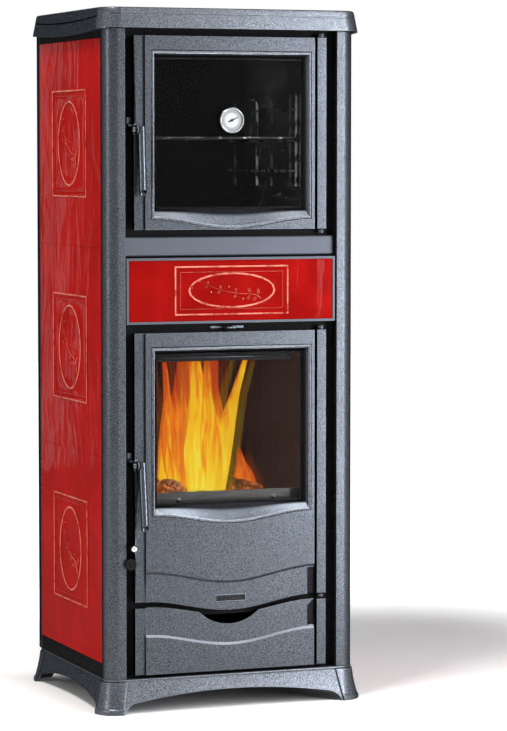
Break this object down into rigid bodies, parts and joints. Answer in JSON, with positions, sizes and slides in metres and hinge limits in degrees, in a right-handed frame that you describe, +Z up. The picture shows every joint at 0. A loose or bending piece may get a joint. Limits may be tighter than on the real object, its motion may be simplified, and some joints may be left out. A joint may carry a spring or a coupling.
{
  "type": "tiled wood stove with oven",
  "caption": "Free-standing wood stove with an oven over the firebox, glazed side and front tiles, glass doors, air controls and an ash drawer.",
  "frame": {"origin": "on the floor under the middle of the stove", "axes": "+Z up, the doors face -Y, +X to the right of someone facing the doors"},
  "size_m": [0.517, 0.471, 1.276],
  "materials": {
    "cast_grey": "fine-textured metallic grey stove paint",
    "bar_grey": "smooth satin grey paint",
    "sheet_black": "matt black heat-proof paint",
    "red_glaze": "glossy red majolica glaze on ceramic",
    "bare_steel": "bare drawn steel",
    "chrome": "polished chrome plate",
    "cast_brown": "bare cast iron, heat-browned",
    "seal_rope": "braided glass-fibre rope",
    "door_glass": "clear glass-ceramic"
  },
  "bodies": {
    "root": {"base_frame": "cast_grey", "post_front_left": "cast_grey", "post_front_right": "cast_grey", "post_rear_left": "cast_grey", "post_rear_right": "cast_grey", "flue_collar": "cast_grey", "top_plate": "cast_grey", "flue_cover": "cast_grey", "oven_hinge_lug_upper": "cast_grey", "oven_hinge_lug_lower": "cast_grey", "firebox_hinge_lug_upper": "cast_grey", "firebox_hinge_lug_lower": "cast_grey", "crossbar": "bar_grey", "front_tile_frame": "bar_grey", "side_liner_left": "sheet_black", "side_liner_right": "sheet_black", "floor_plate": "sheet_black", "back_panel": "sheet_black", "tile_carrier_left": "sheet_black", "tile_carrier_right": "sheet_black", "front_plate": "sheet_black", "firebox_shell": "sheet_black", "oven_box": "sheet_black", "front_tile": "red_glaze", "side_tile_left_1": "red_glaze", "side_tile_left_2": "red_glaze", "side_tile_left_3": "red_glaze", "side_tile_right_1": "red_glaze", "side_tile_right_2": "red_glaze", "side_tile_right_3": "red_glaze", "oven_latch_keeper": "bare_steel", "firebox_latch_keeper": "bare_steel", "log_guard": "bare_steel", "oven_rack_left": "bare_steel", "oven_rack_right": "bare_steel", "oven_shelf": "bare_steel", "hearth_plate": "cast_brown", "firebox_lining_back": "cast_brown", "firebox_lining_left": "cast_brown", "firebox_lining_right": "cast_brown", "baffle_plate": "cast_brown"},
    "oven_door": {"oven_door_frame": "cast_grey", "oven_door_glass": "door_glass", "oven_glass_retainer": "sheet_black", "oven_door_seal": "seal_rope", "thermometer_case": "chrome"},
    "oven_thermometer_needle": {"thermometer_needle": "sheet_black"},
    "oven_handle": {"oven_handle": "bare_steel"},
    "firebox_door": {"firebox_door_frame": "cast_grey", "firebox_door_glass": "door_glass", "firebox_glass_retainer": "sheet_black", "firebox_door_seal": "seal_rope"},
    "firebox_handle": {"firebox_handle": "bare_steel"},
    "ash_drawer": {"ash_drawer_front": "cast_grey", "ash_pan": "sheet_black"},
    "grate_shaker": {"grate_shaker_rod": "chrome", "fire_grate": "cast_brown"},
    "primary_air": {"primary_air_dial": "sheet_black"},
    "secondary_air": {"secondary_air_lever": "bare_steel"}
  },
  "joints": [
    {"name": "oven_door_swing", "type": "hinge", "parent": "root", "child": "oven_door", "pos_m": [0.178, -0.1995, 1.0515], "axis": [0, 0, 1], "range_deg": [0, 110]},
    {"name": "oven_handle_lift", "type": "hinge", "parent": "oven_door", "child": "oven_handle", "pos_m": [-0.176, -0.214, 1.0576], "axis": [-1, 0, 0], "range_deg": [0, 60]},
    {"name": "oven_needle_turn", "type": "hinge", "parent": "oven_door", "child": "oven_thermometer_needle", "pos_m": [0, -0.2062, 1.0747], "axis": [0, -1, 0], "range_deg": [-69, 201]},
    {"name": "firebox_door_swing", "type": "hinge", "parent": "root", "child": "firebox_door", "pos_m": [0.178, -0.1995, 0.446], "axis": [0, 0, 1], "range_deg": [0, 110]},
    {"name": "firebox_handle_lift", "type": "hinge", "parent": "firebox_door", "child": "firebox_handle", "pos_m": [-0.176, -0.214, 0.4516], "axis": [-1, 0, 0], "range_deg": [0, 60]},
    {"name": "ash_drawer_slide", "type": "slide", "parent": "root", "child": "ash_drawer", "axis": [0, -1, 0], "range_m": [0, 0.25]},
    {"name": "grate_shaker_pull", "type": "slide", "parent": "root", "child": "grate_shaker", "axis": [0, -1, 0], "range_m": [0, 0.02]},
    {"name": "primary_air_turn", "type": "hinge", "parent": "root", "child": "primary_air", "pos_m": [-0.1986, -0.215, 0.273], "axis": [0, -1, 0], "range_deg": [0, 90]},
    {"name": "secondary_air_slide", "type": "slide", "parent": "root", "child": "secondary_air", "axis": [1, 0, 0], "range_m": [-0.022, 0.022]}
  ]
}
